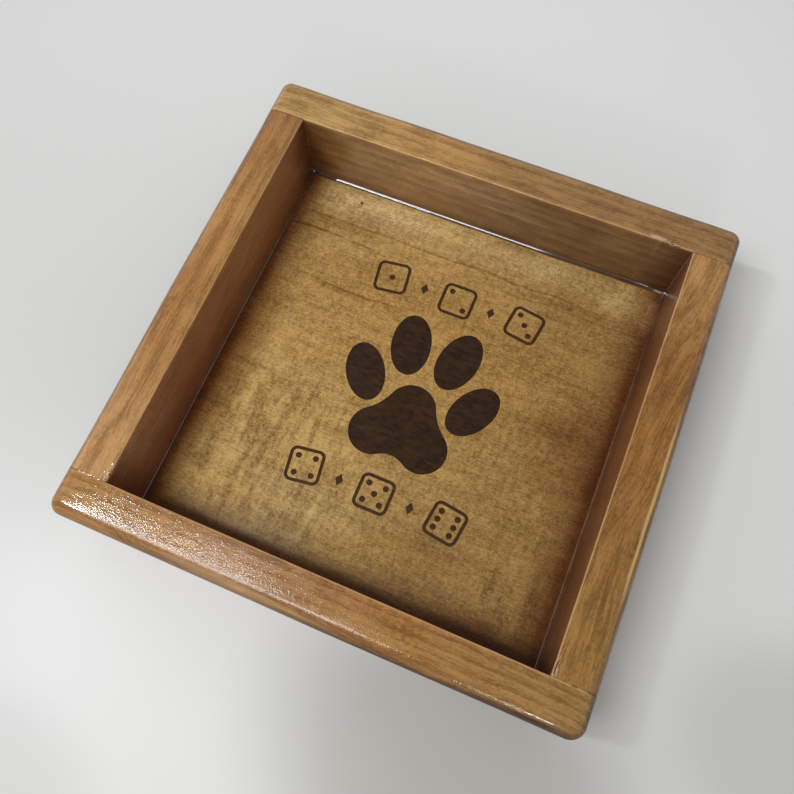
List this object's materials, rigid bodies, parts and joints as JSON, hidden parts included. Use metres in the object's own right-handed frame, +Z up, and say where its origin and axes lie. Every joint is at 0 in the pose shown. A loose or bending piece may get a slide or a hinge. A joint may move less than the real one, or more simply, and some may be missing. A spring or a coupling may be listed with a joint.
{
  "type": "dice tray",
  "caption": "Square open wooden tray with rounded rails, butt-jointed corners and a thin engraved plywood floor, for rolling dice in.",
  "frame": {"origin": "on the surface the tray stands on, under the middle of its outer square", "axes": "+Z up out of the open top, +X to the right along the front rail, -Y towards the front rail"},
  "size_m": [0.216, 0.216, 0.044],
  "materials": {
    "stained_pine": "stained, gloss varnish",
    "stained_plywood": "stained, gloss varnish, dark engraving",
    "wood_filler": "sanded and varnished",
    "nail_steel": "bright wire"
  },
  "bodies": {
    "root": {"back_rail": "stained_pine", "base_panel": "stained_plywood", "brad_back_left_lower": "nail_steel", "brad_back_left_upper": "nail_steel", "brad_back_right_lower": "nail_steel", "brad_back_right_upper": "nail_steel", "brad_front_left_lower": "nail_steel", "brad_front_left_upper": "nail_steel", "brad_front_right_lower": "nail_steel", "brad_front_right_upper": "nail_steel", "front_rail": "stained_pine", "left_rail": "stained_pine", "pin_back_left": "nail_steel", "pin_back_middle": "nail_steel", "pin_back_right": "nail_steel", "pin_front_left": "nail_steel", "pin_front_middle": "nail_steel", "pin_front_right": "nail_steel", "pin_left_back": "nail_steel", "pin_left_front": "nail_steel", "pin_left_middle": "nail_steel", "pin_right_back": "nail_steel", "pin_right_front": "nail_steel", "pin_right_middle": "nail_steel", "plug_back_left_lower": "wood_filler", "plug_back_left_upper": "wood_filler", "plug_back_right_lower": "wood_filler", "plug_back_right_upper": "wood_filler", "plug_front_left_lower": "wood_filler", "plug_front_left_upper": "wood_filler", "plug_front_right_lower": "wood_filler", "plug_front_right_upper": "wood_filler", "right_rail": "stained_pine"}
  },
  "joints": []
}
